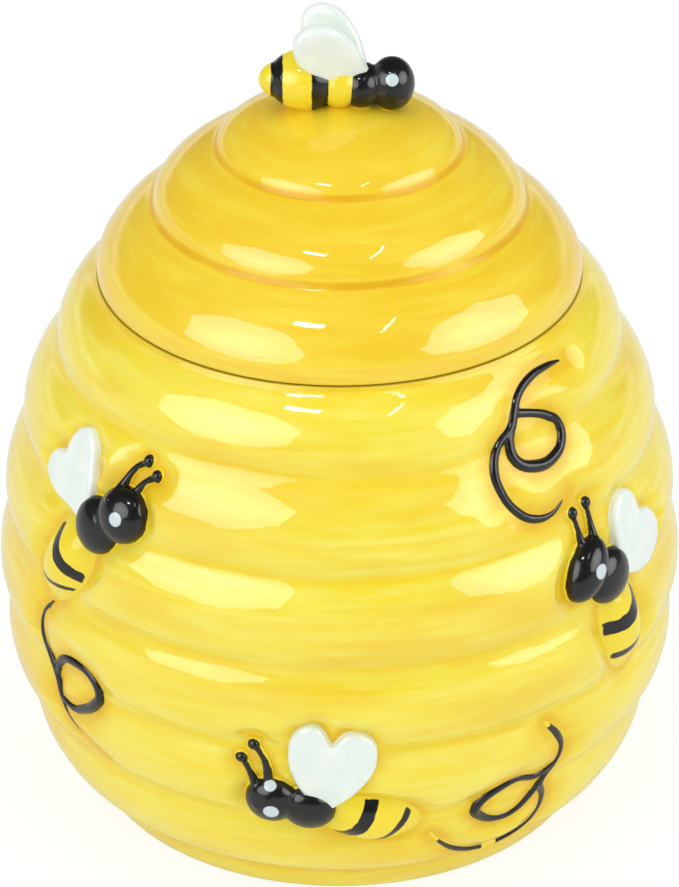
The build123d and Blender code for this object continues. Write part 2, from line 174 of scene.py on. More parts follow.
# Azimuth, height and half width along each trail's long line and its loop
TRAILS = {
    "left_trail": (
        ((-57.5, 81.0, 0.6), (-60.0, 75.5, 1.1), (-60.5, 69.0, 1.4), (-58.5, 64.0, 1.4),
         (-56.5, 58.5, 1.5), (-56.0, 51.5, 1.4), (-54.5, 45.5, 1.1), (-50.5, 42.0, 0.8),
         (-45.5, 38.0, 0.4)),
        ((-56.5, 58.5, 1.3), (-54.5, 65.0, 1.5), (-50.5, 67.5, 1.7), (-46.0, 66.0, 1.6),
         (-44.5, 61.5, 1.7), (-46.0, 57.0, 1.8), (-49.0, 53.0, 1.7), (-52.5, 50.5, 1.6),
         (-56.0, 51.5, 1.4)),
    ),
    "upper_trail": (
        ((57.0, 150.5, 0.6), (51.0, 151.5, 1.1), (45.0, 151.0, 1.4), (40.5, 148.5, 1.5),
         (38.2, 145.0, 1.6), (36.6, 142.0, 1.7), (32.8, 139.0, 1.3), (30.8, 134.0, 1.5),
         (31.3, 127.5, 1.6), (33.6, 122.0, 1.6), (37.0, 118.5, 1.5), (41.5, 118.0, 1.1),
         (46.0, 121.5, 0.4)),
        ((36.6, 142.0, 1.6), (35.4, 138.5, 1.6), (36.0, 134.0, 1.7), (40.0, 131.0, 1.9),
         (44.5, 131.0, 1.8), (48.0, 134.0, 1.6), (48.5, 138.5, 1.5), (46.5, 141.0, 1.5),
         (43.0, 143.2, 1.4), (38.2, 145.0, 1.5)),
    ),
    "lower_trail": (
        ((37.0, 57.5, 0.9), (40.0, 51.5, 1.4), (41.5, 46.0, 1.3), (41.0, 41.0, 1.2),
         (38.8, 35.5, 1.3), (40.5, 28.0, 1.3), (41.0, 21.5, 1.3), (39.5, 15.5, 1.2),
         (34.0, 12.0, 1.1), (28.5, 12.5, 1.1), (23.5, 16.0, 1.4), (20.0, 20.5, 1.2),
         (17.0, 26.5, 1.0)),
        ((41.0, 41.0, 1.2), (37.0, 38.5, 1.3), (32.5, 40.5, 1.4), (29.0, 39.0, 1.5),
         (26.0, 36.0, 1.6), (25.0, 33.0, 1.8), (27.0, 28.5, 1.6), (30.5, 26.0, 1.5),
         (34.0, 26.5, 1.5), (36.5, 30.0, 1.4), (38.8, 35.5, 1.3)),
    ),
}


def spot(bee, x, y):
    """Azimuth and height of a spot by a bee, from millimetres along and up the wall."""
    azimuth, height = bee["place"]
    return azimuth + math.degrees(x / bow_radius(height)), height + y


def bee_strokes(bee):
    """The marks of a bee on the wall, each two places with the half width at each."""
    marks = []
    for lump in ("head", "thorax", "tail"):
        x, y, turn = bee[lump]
        length, width, _ = bee[lump + "_size"]
        reach = Vector((length - width * 0.9, 0)) @ Matrix.Rotation(-math.radians(turn), 2)
        reach = reach if length > width * 1.2 else Vector((0.1, 0))
        marks.append(((*spot(bee, x - reach.x, y - reach.y), width * 0.9),
                      (*spot(bee, x + reach.x, y + reach.y), width * 0.8)))
    centre = sum((Vector(point) for point in bee["wings"]), Vector((0, 0))) / len(bee["wings"])
    for point in bee["wings"]:
        edge = Vector(point).lerp(centre, 0.2)
        marks.append(((*spot(bee, *centre), 5), (*spot(bee, *edge), 1.5)))
    for line in bee["antennae"]:
        marks += [((*spot(bee, *start), 1), (*spot(bee, *end), 1.2)) for start, end in zip(line, line[1:])]
    return marks


def beyond_stroke(azimuth, height, start, end):
    """Distance over the wall from a place to the edge of a tapered mark."""
    girth = math.radians(1) * bow_radius(height)
    steepness = math.hypot(1, bow_lean(height))
    offset = Vector(((azimuth - start[0]) * girth, (height - start[1]) * steepness))
    run = Vector(((end[0] - start[0]) * girth, (end[1] - start[1]) * steepness))
    share = min(max(offset.dot(run) / run.length_squared, 0), 1)
    return (offset - run * share).length - start[2] - (end[2] - start[2]) * share


BEE_MARKS = [bee_strokes(bee) for bee in BEES.values()]
TRAIL_MARKS = [[pair for line in lines for pair in zip(line, line[1:])] for lines in TRAILS.values()]
MARK_MARGIN = 9.0


def beyond_marks(groups, azimuth, height):
    """Distance over the wall from a place to the nearest mark, or the margin if it is further."""
    nearest = MARK_MARGIN
    for marks in groups:
        azimuths = [end[0] for mark in marks for end in mark]
        heights = [end[1] for mark in marks for end in mark]
        if not min(azimuths) - 10 < azimuth < max(azimuths) + 10:
            continue
        if not min(heights) - 15 < height < max(heights) + 15:
            continue
        nearest = min([nearest] + [beyond_stroke(azimuth, height, *mark) for mark in marks])
    return nearest


def ease(value, low, high):
    """0 below low, 1 above high, and a smooth step between."""
    share = min(max((value - low) / (high - low), 0), 1)
    return share * share * (3 - 2 * share)


# Yellow glaze. The potter brushes lemon and honey underglaze round the ribs in level strokes.
# Pale clouds on the rib crests are a painted highlight; gold and amber in the grooves and round
# the relief are painted shade, and so is a dark line where the lid sits on the jar. The clear
# glaze over it shines.
LEMON = (0.92, 0.73, 0.030, 1)
PALE_LEMON = (0.93, 0.82, 0.11, 1)
HONEY = (0.91, 0.60, 0.014, 1)
PALE_HONEY = (0.93, 0.72, 0.050, 1)
# Gold tints random broad clouds and the lighter painted shade; the amber below is the deep painted shade in
# the grooves and round the relief.
GOLD = (0.88, 0.58, 0.012, 1)
AMBER_SHADE = (0.78, 0.42, 0.004, 1)
# The brown below is a painted shade line where the lid sits on the jar.
SEAM_SHADE = (0.30, 0.22, 0.02, 1)
GLAZE_IOR = 1.5
HOLLOW_GLOSS = 0.2


def add(tree, kind, links=None, **settings):
    """New shader node, with its settings and its sockets' values or links."""
    node = tree.nodes.new(kind)
    for setting, value in settings.items():
        setattr(node, setting, value)
    for socket, value in (links or {}).items():
        if isinstance(value, bpy.types.NodeSocket):
            tree.links.new(value, node.inputs[socket])
        else:
            node.inputs[socket].default_value = value
    return node


def mixed(tree, share, first, second):
    """Colour between two colours."""
    node = add(tree, "ShaderNodeMix", {0: share, 6: first, 7: second}, data_type="RGBA")
    return node.outputs[2]


def stepped(tree, value, low, high):
    """0 below low, 1 above high, and a smooth step between."""
    links = {"Value": value, "From Min": low, "From Max": high}
    node = add(tree, "ShaderNodeMapRange", links, interpolation_type="SMOOTHSTEP")
    return node.outputs["Result"]


def blurred(tree, coordinates, scale, detail=3.0):
    """Noise on the piece, with its scale along X, Y and Z in features a metre."""
    place = add(tree, "ShaderNodeMapping", {"Vector": coordinates, "Scale": scale})
    links = {"Vector": place.outputs[0], "Scale": 1.0, "Detail": detail, "Roughness": 0.55}
    return add(tree, "ShaderNodeTexNoise", links).outputs["Fac"]


def product(tree, first, second):
    """Two numbers multiplied."""
    return add(tree, "ShaderNodeMath", {0: first, 1: second}, operation="MULTIPLY").outputs[0]


def total(tree, first, second):
    """Two numbers added."""
    return add(tree, "ShaderNodeMath", {0: first, 1: second}, operation="ADD").outputs[0]


def yellow_paint(tree, coordinates, body, pale):
    """Brushed underglaze: level streaks, random gold clouds, pale clouds on the crests as a painted
    highlight, gold and amber painted shade in the hollows, and a painted shade line at the seam.
    """
    streaks = blurred(tree, coordinates, (38, 38, 420), 4)
    clouds = blurred(tree, coordinates, (26, 26, 60), 2)
    crest = add(tree, "ShaderNodeAttribute", attribute_name="crest").outputs["Fac"]
    hollow_shade = add(tree, "ShaderNodeAttribute", attribute_name="hollow_shade").outputs["Fac"]
    streaked = mixed(tree, stepped(tree, streaks, 0.34, 0.72), body, pale)
    # Pale clouds only on the rib crests: a painted highlight where the crests catch the light.
    crest_highlight = product(tree, crest, stepped(tree, clouds, 0.35, 0.75))
    highlighted = mixed(tree, product(tree, crest_highlight, 0.6), streaked, pale)
    broad = stepped(tree, blurred(tree, coordinates, (18, 18, 75), 3), 0.45, 0.70)
    golden = mixed(tree, product(tree, broad, 0.62), highlighted, GOLD)
    uneven = stepped(tree, blurred(tree, coordinates, (60, 60, 140), 3), 0.15, 0.6)
    # Painted shade: gold, then amber in the deepest parts, in the grooves and round the relief, unevenly.
    soft_shade = mixed(tree, product(tree, hollow_shade, product(tree, uneven, 0.7)), golden, GOLD)
    deep_shade = product(tree, stepped(tree, hollow_shade, 0.55, 1.0), product(tree, uneven, 0.95))
    shaded = mixed(tree, deep_shade, soft_shade, AMBER_SHADE)
    # Painted shade line where the lid meets the jar.
    seam_shade = add(tree, "ShaderNodeAttribute", attribute_name="seam_shade").outputs["Fac"]
    return mixed(tree, seam_shade, shaded, SEAM_SHADE)


def glazed(name, paint, coat_bump=0.12, gloss=1.0):
    """Material of fired clay under a clear glaze over a paint. It shines less in the grooves and round the
    relief, where the amber shade is painted.
    """
    material = bpy.data.materials.new(name)
    material.use_nodes = True
    tree = material.node_tree
    shader = tree.nodes["Principled BSDF"]
    coordinates = add(tree, "ShaderNodeTexCoord").outputs["Object"]
    tree.links.new(paint(tree, coordinates), shader.inputs["Base Color"])
    shader.inputs["Roughness"].default_value = 0.4
    shader.inputs["IOR"].default_value = GLAZE_IOR
    shader.inputs["Specular IOR Level"].default_value = 0.12
    hollow_shade = add(tree, "ShaderNodeAttribute", attribute_name="hollow_shade").outputs["Fac"]
    shine = add(tree, "ShaderNodeMapRange", {"Value": hollow_shade, "To Min": gloss, "To Max": HOLLOW_GLOSS})
    tree.links.new(shine.outputs["Result"], shader.inputs["Coat Weight"])
    shader.inputs["Coat Roughness"].default_value = 0.035
    shader.inputs["Coat IOR"].default_value = 1.52
    ripples = blurred(tree, coordinates, (110, 110, 260), 2)
    bump = add(tree, "ShaderNodeBump", {"Height": ripples, "Strength": coat_bump, "Distance": 0.0006})
    tree.links.new(bump.outputs[0], shader.inputs["Coat Normal"])
    return material


lemon_glaze = glazed("lemon_glaze", lambda tree, at: yellow_paint(tree, at, LEMON, PALE_LEMON))
honey_glaze = glazed("honey_glaze", lambda tree, at: yellow_paint(tree, at, HONEY, PALE_HONEY))


# The jar. It is slip-cast in one piece: foot ring, foot band, five ribs and a shoulder, hollow
# inside. The ribs fade into a smooth hollow round each bee and trail.
FOOT_BAND_HEIGHT = 11.0
SHOULDER_RISE = 20.0
RIB_COUNT = 5
RIB_BULGE = 3.0
SHOULDER_BULGE = 2.5
FOOT_BAND_BULGE = 0.9
GROOVE_SINK = 0.25
CREST_SHARE = 0.43
ROWS = 158
TRAIL_FADE = 0.3
AROUND_STEPS = 360
WALL = 6.0
FLOOR_THICKNESS = 7.0
FOOT_RECESS = 2.0
FOOT_RING_WIDTH = 8.0
MOUTH_RADIUS = 60.0
MOUTH_LAND = 3.0
RIM_ROUND = 0.7
MOUTH_ROUND = 1.2
FLOOR_ROUND = 7.0
RING_ROUND = 0.8

RIB_PITCH = (RIM_HEIGHT - SHOULDER_RISE - FOOT_BAND_HEIGHT) / RIB_COUNT
GROOVES = [FOOT_BAND_HEIGHT + i * RIB_PITCH for i in range(RIB_COUNT + 1)]


def swell(share, bulge, sweep=0.72):
    """How far a rib stands out, from its lower groove at 0 to its upper groove at 1.

    It tucks in tightly below its crest. Above the crest it falls off and then sweeps back up."""
    if share < CREST_SHARE:
        return bulge * (1 - (1 - share / CREST_SHARE) ** 3)
    past = (share - CREST_SHARE) / (1 - CREST_SHARE)
    if past < sweep:
        return bulge * (1 - past**2 / sweep)
    return bulge * (1 - past) ** 2 / (1 - sweep)


def rib_swell(height):
    """How far the ribbed wall stands out of the smooth one at a height."""
    if height < FOOT_BAND_HEIGHT:
        return swell(0.5 + 0.5 * height / FOOT_BAND_HEIGHT, FOOT_BAND_BULGE)
    if height > GROOVES[-1]:
        return swell((height - GROOVES[-1]) / SHOULDER_RISE, SHOULDER_BULGE)
    return swell((height - FOOT_BAND_HEIGHT) / RIB_PITCH % 1, RIB_BULGE)


def even_steps(low, high, count):
    """Values from low towards high in even steps, without the last."""
    return [low + (high - low) * i / count for i in range(count)]


def softened(points, rounds):
    """Line of radius and height with its creases rounded, as glaze fills them."""
    for _ in range(rounds):
        middles = [(Vector(a) + Vector(b) * 2 + Vector(c)) / 4
                   for a, b, c in zip(points, points[1:], points[2:])]
        points = [points[0]] + [tuple(middle) for middle in middles] + [points[-1]]
    return points


def spun(points):
    """Mesh turned about the axis from a line of radius and height, with its poles closed."""
    mesh = bmesh.new()
    ring = [mesh.verts.new((radius, 0, height)) for radius, height in points]
    line = [mesh.edges.new(pair) for pair in zip(ring, ring[1:])]
    bmesh.ops.spin(mesh, geom=ring + line, cent=(0, 0, 0), axis=(0, 0, 1), angle=2 * math.pi,
                   steps=AROUND_STEPS, use_merge=True)
    bmesh.ops.remove_doubles(mesh, verts=mesh.verts, dist=0.001)
    bmesh.ops.recalc_face_normals(mesh, faces=mesh.faces)
    return mesh


def fired(mesh, name, material, body, slot, *nodes):
    """Finished piece from a mesh in millimetres: it stands for CAD nodes and rides on a body."""
    bmesh.ops.scale(mesh, vec=(MM, MM, MM), verts=mesh.verts)
    for face in mesh.faces:
        face.smooth = True
    data = bpy.data.meshes.new(name)
    mesh.to_mesh(data)
    mesh.free()
    data.materials.append(material)
    piece = bpy.data.objects.new(name, data)
    bpy.context.scene.collection.objects.link(piece)
    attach(piece, body)
    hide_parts(*nodes)
    return piece


def rounded(before, corner, after, radius, count=4):
    """Points of a round corner in a line of radius and height."""
    corner, before, after = Vector(corner), Vector(before), Vector(after)
    start = corner + (before - corner).normalized() * radius
    end = corner + (after - corner).normalized() * radius
    steps = [i / count for i in range(count + 1)]
    return [tuple(start.lerp(corner, s).lerp(corner.lerp(end, s), s)) for s in steps]


outside = []
for height in even_steps(1, RIM_HEIGHT - 0.8, ROWS) + [RIM_HEIGHT - 0.8]:
    lift = rib_swell(height) - GROOVE_SINK
    outward = out_of_wall(90, height)
    outside.append((bow_radius(height) + outward.x * lift, height + outward.z * lift))
outside = softened(outside, 1)

floor_radius = bow_radius(FLOOR_THICKNESS) - WALL
inner_heights = [FLOOR_THICKNESS + (RIM_HEIGHT - MOUTH_LAND - FLOOR_THICKNESS) * i / 40 for i in range(41)]
inside = []
for height in inner_heights[3:]:
    toward_mouth = ease(height, RIM_HEIGHT - 40, RIM_HEIGHT - MOUTH_LAND)
    narrowing = bow_radius(RIM_HEIGHT - MOUTH_LAND) - WALL - MOUTH_RADIUS
    inside.append((bow_radius(height) - WALL - toward_mouth * narrowing, height))
ring_inner = FOOT_RADIUS - FOOT_RING_WIDTH
jar_line = [(0, FOOT_RECESS)]
jar_line += [(ring_inner * i / 6, FOOT_RECESS) for i in range(1, 6)]
jar_line += rounded((0, FOOT_RECESS), (ring_inner, FOOT_RECESS), (ring_inner, 0), RING_ROUND)
jar_line += rounded((ring_inner, FOOT_RECESS), (ring_inner, 0), (FOOT_RADIUS, 0), 0.6)
jar_line += rounded((ring_inner, 0), (FOOT_RADIUS, 0), outside[0], 1.0)
jar_line += outside
jar_line += rounded(outside[-1], (RIM_RADIUS, RIM_HEIGHT), (MOUTH_RADIUS, RIM_HEIGHT), RIM_ROUND)
jar_line += rounded((RIM_RADIUS, RIM_HEIGHT), (MOUTH_RADIUS, RIM_HEIGHT), inside[-1], MOUTH_ROUND)
jar_line += inside[::-1]
jar_line += rounded(inside[0], (floor_radius, FLOOR_THICKNESS), (0, FLOOR_THICKNESS), FLOOR_ROUND, 8)
jar_line += [(floor_radius * i / 8, FLOOR_THICKNESS) for i in range(6, 0, -1)]
jar_line += [(0, FLOOR_THICKNESS)]

jar = spun(jar_line)
crest_highlight_layer = jar.verts.layers.float.new("crest")
hollow_shade_layer = jar.verts.layers.float.new("hollow_shade")
seam_shade_layer = jar.verts.layers.float.new("seam_shade")
for vert in jar.verts:
    lift, outward = over_wall(vert.co)
    if lift < -1.5 or vert.co.z < 1:
        continue
    azimuth = math.degrees(math.atan2(vert.co.x, -vert.co.y))
    height = vert.co.z - lift * outward.z
    beyond_bees = beyond_marks(BEE_MARKS, azimuth, height)
    beyond_trails = beyond_marks(TRAIL_MARKS, azimuth, height)
    ribbed = ease(beyond_bees, 0.5, 6.5) * (TRAIL_FADE + (1 - TRAIL_FADE) * ease(beyond_trails, -1, 9))
    if height < RIM_HEIGHT - 3:
        vert.co -= outward * (1 - ribbed) * lift
    # The crest value sets how much painted highlight the pale crest clouds give here.
    vert[crest_highlight_layer] = ribbed * ease(lift, 0.6, 3)
    # Painted shade in the grooves, and in a ring round each bee and trail.
    groove = 1 - ease(lift, -0.15, 0.75)
    halo_shade = max(0.8 * (1 - ease(beyond_bees, 0.5, 6.5)), 0.8 * (1 - ease(beyond_trails, 0.5, 8.5)))
    vert[hollow_shade_layer] = max(groove * ribbed, halo_shade)
    # Painted shade line on the rim's outer edge, where the lid sits.
    at_edge = ease(math.hypot(vert.co.x, vert.co.y), RIM_RADIUS - 1.2, RIM_RADIUS - 0.6)
    vert[seam_shade_layer] = at_edge * (1 - ease(RIM_HEIGHT - vert.co.z, 0, 0.4))
fired(jar, "glazed_jar", lemon_glaze, "jar", "lemon_glaze", "jar_body")


# The lid. It is cast as two ribbed tiers and a crown, hollow, with a ring underneath that drops
# into the mouth of the jar. It is brushed in a warmer yellow than the jar.
LOWER_GROOVE = (51.0, RIM_HEIGHT + 21.2)
UPPER_GROOVE = (33.2, RIM_HEIGHT + 37.7)
CROWN_EDGE = (31.2, RIM_HEIGHT + 40.9)
CROWN_TOP = RIM_HEIGHT + 50.0
LOWER_TIER_BULGE = 3.5
UPPER_TIER_BULGE = 3.1
TIER_SINK = 0.3
CROWN_FULLNESS = 1.85
LID_WALL = 5.5
SKIRT_OUTER = 58.5
SKIRT_INNER = 54.0
SKIRT_DEPTH = 9.0
LID_INSET = 0.3
LID_HOLLOW = ((30.2, 190.9), (38.8, 183.0), (47.4, 175.1), (52.0, 165.0))
CROWN_BALL = (CROWN_EDGE[0] ** 2 + (CROWN_TOP - CROWN_EDGE[1]) ** 2) / (2 * (CROWN_TOP - CROWN_EDGE[1]))


def tier(low, high, bulge, count):
    """Line of a tier that swells between two grooves."""
    low, high = Vector(low), Vector(high)
    run = (high - low).normalized()
    outward = Vector((run.y, -run.x))
    shares = even_steps(0, 1, count)
    return [tuple(low.lerp(high, s) + outward * (swell(s, bulge, 0.88) - TIER_SINK)) for s in shares]


def crown(count):
    """Line of the crown: a squashed dome that drops straight into its groove."""
    edge, foot = UPPER_GROOVE
    height = CROWN_TOP - foot
    turns = [math.pi / 2 * i / count for i in range(1, count)]
    power = 2 / CROWN_FULLNESS
    return [(edge * math.cos(t) ** power, foot + height * math.sin(t) ** power) for t in turns]


rim = (RIM_RADIUS - LID_INSET, RIM_HEIGHT)
lid_outside = tier((RIM_RADIUS, RIM_HEIGHT), LOWER_GROOVE, LOWER_TIER_BULGE, 30)[2:]
lid_outside += tier(LOWER_GROOVE, UPPER_GROOVE, UPPER_TIER_BULGE, 28)
lid_outside += crown(30)
lid_line = rounded((SKIRT_OUTER, RIM_HEIGHT), rim, lid_outside[0], RIM_ROUND)
lid_line += softened(lid_outside, 2) + [(0, CROWN_TOP)]
lid_line += [(0, CROWN_TOP - LID_WALL)]
lid_line += [(15, CROWN_TOP - LID_WALL - 2.6), *LID_HOLLOW]
lid_line += [(SKIRT_INNER, RIM_HEIGHT), (SKIRT_INNER, RIM_HEIGHT - SKIRT_DEPTH + 1)]
lid_line += rounded((SKIRT_INNER, RIM_HEIGHT), (SKIRT_INNER, RIM_HEIGHT - SKIRT_DEPTH),
                    (SKIRT_OUTER, RIM_HEIGHT - SKIRT_DEPTH), 1.0)
lid_line += rounded((SKIRT_INNER, RIM_HEIGHT - SKIRT_DEPTH), (SKIRT_OUTER, RIM_HEIGHT - SKIRT_DEPTH),
                    (SKIRT_OUTER, RIM_HEIGHT), 1.0)
lid_line += [(SKIRT_OUTER, RIM_HEIGHT), lid_line[0]]

lid = spun(lid_line)
crest_highlight_layer = lid.verts.layers.float.new("crest")
hollow_shade_layer = lid.verts.layers.float.new("hollow_shade")
seam_shade_layer = lid.verts.layers.float.new("seam_shade")
for vert in lid.verts:
    radius = math.hypot(vert.co.x, vert.co.y)
    place = Vector((radius, vert.co.z))
    grooves = [Vector(LOWER_GROOVE), Vector(UPPER_GROOVE)]
    # Painted shade along the two grooves.
    vert[hollow_shade_layer] = max(1 - ease((place - groove).length, 0.4, 2.6) for groove in grooves)
    # The lid's crest paleness is half strength everywhere.
    vert[crest_highlight_layer] = 0.5
    # Painted shade line on the lid's lower edge, where it sits on the jar.
    at_edge = ease(radius, RIM_RADIUS - 1.6, RIM_RADIUS - 0.9)
    vert[seam_shade_layer] = at_edge * (1 - ease(vert.co.z - RIM_HEIGHT, 0, 0.4))
fired(lid, "glazed_lid", honey_glaze, "lid", "honey_glaze", "lid")


# The glazes of the bees. Black, white and yellow are painted on under the clear glaze, and each
# patch of black stops a hair short of the clay edge.
INK = (0.004, 0.0045, 0.005, 1)
WING_WHITE = (0.86, 0.93, 0.87, 1)
WING_SHADE = (0.79, 0.89, 0.83, 1)
EYE_WHITE = (0.62, 0.72, 0.76, 1)


def painted(tree, coordinates, ground):
    """Black patches with a hand-drawn edge, and pale eyes, over a ground paint."""
    ink = add(tree, "ShaderNodeAttribute", attribute_name="ink").outputs["Fac"]
    eye = add(tree, "ShaderNodeAttribute", attribute_name="eye").outputs["Fac"]
    wander = blurred(tree, coordinates, (320, 320, 320), 2)
    edge = total(tree, ink, total(tree, wander, -0.5))
    inked = mixed(tree, stepped(tree, edge, -0.12, 0.12), ground, INK)
    return mixed(tree, stepped(tree, eye, -0.15, 0.15), inked, EYE_WHITE)


def wing_paint(tree, coordinates):
    """White with a faint green tint that gathers in soft clouds."""
    clouds = stepped(tree, blurred(tree, coordinates, (150, 150, 150), 2), 0.3, 0.7)
    return mixed(tree, clouds, WING_WHITE, WING_SHADE)


black_glaze = glazed("black_glaze", lambda tree, at: painted(tree, at, LEMON), 0.08, 0.7)
banded_glaze = glazed("banded_glaze", lambda tree, at: painted(tree, at, LEMON), 0.08, 0.7)
white_glaze = glazed("white_glaze", wing_paint, 0.08)


# The relief bees. Each is pressed from clay and luted onto the wall before the glaze: a black
# head, thorax and feelers in one lump, a banded abdomen, and a pair of wings as a heart. They
# are shaped flat, along X and up Y, and then laid on the curve of the wall.
SUNK = -1.2
WING_RELIEF = 2.7
WING_ROUND = 1.2


def ovoid(mesh, centre, half_sizes, turn=0, segments=48):
    """Adds a ball stretched along each axis and turned about Z."""
    place = Matrix.Translation(centre) @ Matrix.Rotation(math.radians(turn), 4, "Z")
    place = place @ Matrix.Diagonal((*half_sizes, 1))
    bmesh.ops.create_uvsphere(mesh, u_segments=segments, v_segments=segments * 3 // 4, radius=1,
                              matrix=place)


def from_curve(mesh, curve):
    """Adds the surface of a curve object's data."""
    holder = bpy.data.objects.new("curve", curve)
    bpy.context.scene.collection.objects.link(holder)
    surface = bpy.data.meshes.new_from_object(holder.evaluated_get(bpy.context.evaluated_depsgraph_get()))
    mesh.from_mesh(surface)
    bpy.data.objects.remove(holder)
    bpy.data.curves.remove(curve)
    bpy.data.meshes.remove(surface)


def wire(mesh, points, radii):
    """Adds a tapered tube with round ends through a few points."""
    curve = bpy.data.curves.new("wire", "CURVE")
    curve.dimensions = "3D"
    curve.bevel_depth = 1
    curve.bevel_resolution = 3
    curve.use_fill_caps = True
    curve.resolution_u = 8
    spline = curve.splines.new("BEZIER")
    spline.bezier_points.add(len(points) - 1)
    for knot, point, radius in zip(spline.bezier_points, points, radii):
        knot.co = point
        knot.radius = radius
        knot.handle_left_type = knot.handle_right_type = "AUTO"
    from_curve(mesh, curve)
    for point, radius in ((points[0], radii[0]), (points[-1], radii[-1])):
        ovoid(mesh, point, (radius, radius, radius), 0, 16)


def plate(mesh, outline, corners, low, high, edge_round):
    """Adds a flat plate with a round edge, from a closed outline with a few sharp corners."""
    curve = bpy.data.curves.new("plate", "CURVE")
    curve.dimensions = "2D"
    curve.fill_mode = "BOTH"
    curve.bevel_depth = edge_round
    curve.bevel_resolution = 4
    curve.offset = -edge_round
    curve.extrude = (high - low) / 2 - edge_round
    curve.resolution_u = 10
    spline = curve.splines.new("BEZIER")
    spline.use_cyclic_u = True
    spline.bezier_points.add(len(outline) - 1)
    for i, (knot, point) in enumerate(zip(spline.bezier_points, outline)):
        knot.co = (*point, 0)
        knot.handle_left_type = knot.handle_right_type = "VECTOR" if i in corners else "AUTO"
    made = bmesh.new()
    from_curve(made, curve)
    bmesh.ops.translate(made, vec=(0, 0, (high + low) / 2), verts=made.verts)
    shape = bpy.data.meshes.new("plate")
    made.to_mesh(shape)
    made.free()
    mesh.from_mesh(shape)
    bpy.data.meshes.remove(shape)


def melted(mesh, voxel, rounds):
    """Lumps of clay merged into one smooth piece."""
    data = bpy.data.meshes.new("clay")
    mesh.to_mesh(data)
    mesh.free()
    lump = bpy.data.objects.new("clay", data)
    bpy.context.scene.collection.objects.link(lump)
    remesh = lump.modifiers.new("merge", "REMESH")
    remesh.mode = "VOXEL"
    remesh.voxel_size = voxel
    smooth = lump.modifiers.new("smooth", "SMOOTH")
    smooth.iterations = rounds
    smooth.factor = 0.5
    graph = bpy.context.evaluated_depsgraph_get()
    result = bpy.data.meshes.new_from_object(lump.evaluated_get(graph))
    merged = bmesh.new()
    merged.from_mesh(result)
    bpy.data.objects.remove(lump)
    bpy.data.meshes.remove(data)
    bpy.data.meshes.remove(result)
    return merged


def seat(mesh, flare, reach, over=None):
    """Presses a lump onto a surface: what is below it goes flat, and the foot spreads a little."""
    over = over or (lambda point: (point.z, Vector((0, 0, 1))))
    mesh.normal_update()
    sideways = {}
    for vert in mesh.verts:
        outward = over(vert.co)[1]
        across = vert.normal - outward * vert.normal.dot(outward)
        sideways[vert] = across.normalized() if across.length > 0.05 else Vector()
    for vert in mesh.verts:
        lift, outward = over(vert.co)
        spread = 1 - ease(lift, 0, reach) if lift > 0 else 1
        if lift < SUNK:
            vert.co += outward * (SUNK - lift)
            spread = 0.5
        vert.co += sideways[vert] * flare * spread**2


def add_marks(mesh, ink_at, eyes=()):
    """Stores how far inside the black and inside an eye each point is, in millimetres."""
    ink_layer = mesh.verts.layers.float.new("ink")
    eye_layer = mesh.verts.layers.float.new("eye")
    for vert in mesh.verts:
        vert[ink_layer] = ink_at(vert.co)
        vert[eye_layer] = max([-2] + [size - (vert.co - eye).length for eye, size in eyes])


def lay_on_wall(mesh, bee):
    """Bends a flat lump onto the wall at its bee's place."""
    for vert in mesh.verts:
        vert.co = on_wall(*spot(bee, vert.co.x, vert.co.y), vert.co.z)


BAND_CURVE = 0.035
FEATHER = 2.6

for bee_name, bee in BEES.items():
    body = bmesh.new()
    for lump, lift in (("thorax", 0.6), ("head", 1.0)):
        x, y, turn = bee[lump]
        ovoid(body, (x, y, lift), bee[lump + "_size"], turn)
    for line in bee["antennae"]:
        points = [(x, y, lift) for (x, y), lift in zip(line, (4.6, 1.4, 0.6, 0.6))]
        wire(body, points, (1.5, 1.3, 0.95, 0.9))
        ovoid(body, points[-1], (1.7, 1.7, 1.7), 0, 20)
    body = melted(body, 0.35, 4)
    seat(body, 0.6, 1.2)
    eyes = [(Vector(eye[:3]), eye[3]) for eye in bee["eyes"]]
    add_marks(body, lambda point: point.z - 0.8, eyes)
    lay_on_wall(body, bee)
    fired(body, bee_name + "_body_clay", black_glaze, "jar", "black_glaze",
          bee_name + "_head", bee_name + "_thorax", bee_name + "_antennae")

    x, y, turn = bee["tail"]
    abdomen = bmesh.new()
    ovoid(abdomen, (0, 0, 0), (1, 1, 1), 0, 72)
    for vert in abdomen.verts:
        vert.co.z = max(vert.co.z, 0) ** FEATHER + min(vert.co.z, 0) * 0.3
    length, width, rise = bee["tail_size"]
    place = Matrix.Translation((x, y, -0.25)) @ Matrix.Rotation(math.radians(turn), 4, "Z")
    bmesh.ops.transform(abdomen, matrix=place @ Matrix.Diagonal((length, width, rise, 1)),
                        verts=abdomen.verts)

    def band_ink(point, bands=bee["bands"], to_tail=place.inverted()):
        """How far inside a band a point of the abdomen is."""
        local = to_tail @ point
        along = local.x + (local.y**2 - 20) * BAND_CURVE
        return max(min(along - local.y * tilt - low, high - along + local.y * tilt, point.z - 0.6)
                   for low, high, tilt in bands)

    add_marks(abdomen, band_ink)
    lay_on_wall(abdomen, bee)
    fired(abdomen, bee_name + "_abdomen_clay", banded_glaze, "jar", "banded_glaze", bee_name + "_abdomen")

    wings = bmesh.new()
    plate(wings, bee["wings"], (0, bee["notch"]), SUNK, WING_RELIEF, WING_ROUND)
    wings = melted(wings, 0.45, 5)
    seat(wings, 0.35, 0.9)
    lay_on_wall(wings, bee)
    fired(wings, bee_name + "_wings_clay", white_glaze, "jar", "white_glaze", bee_name + "_wings")


# The flight trails. Each is a thin roll of clay laid on the wall in a loop, tapered at its ends
# and painted black along its top.
BARE_TIPS = {"left_trail": [], "upper_trail": [((57.5, 150.5), 2.5)],
             "lower_trail": [((37.0, 57.5), 2.0), ((31.8, 12.0), 2.6), ((17.0, 26.5), 4.5)]}

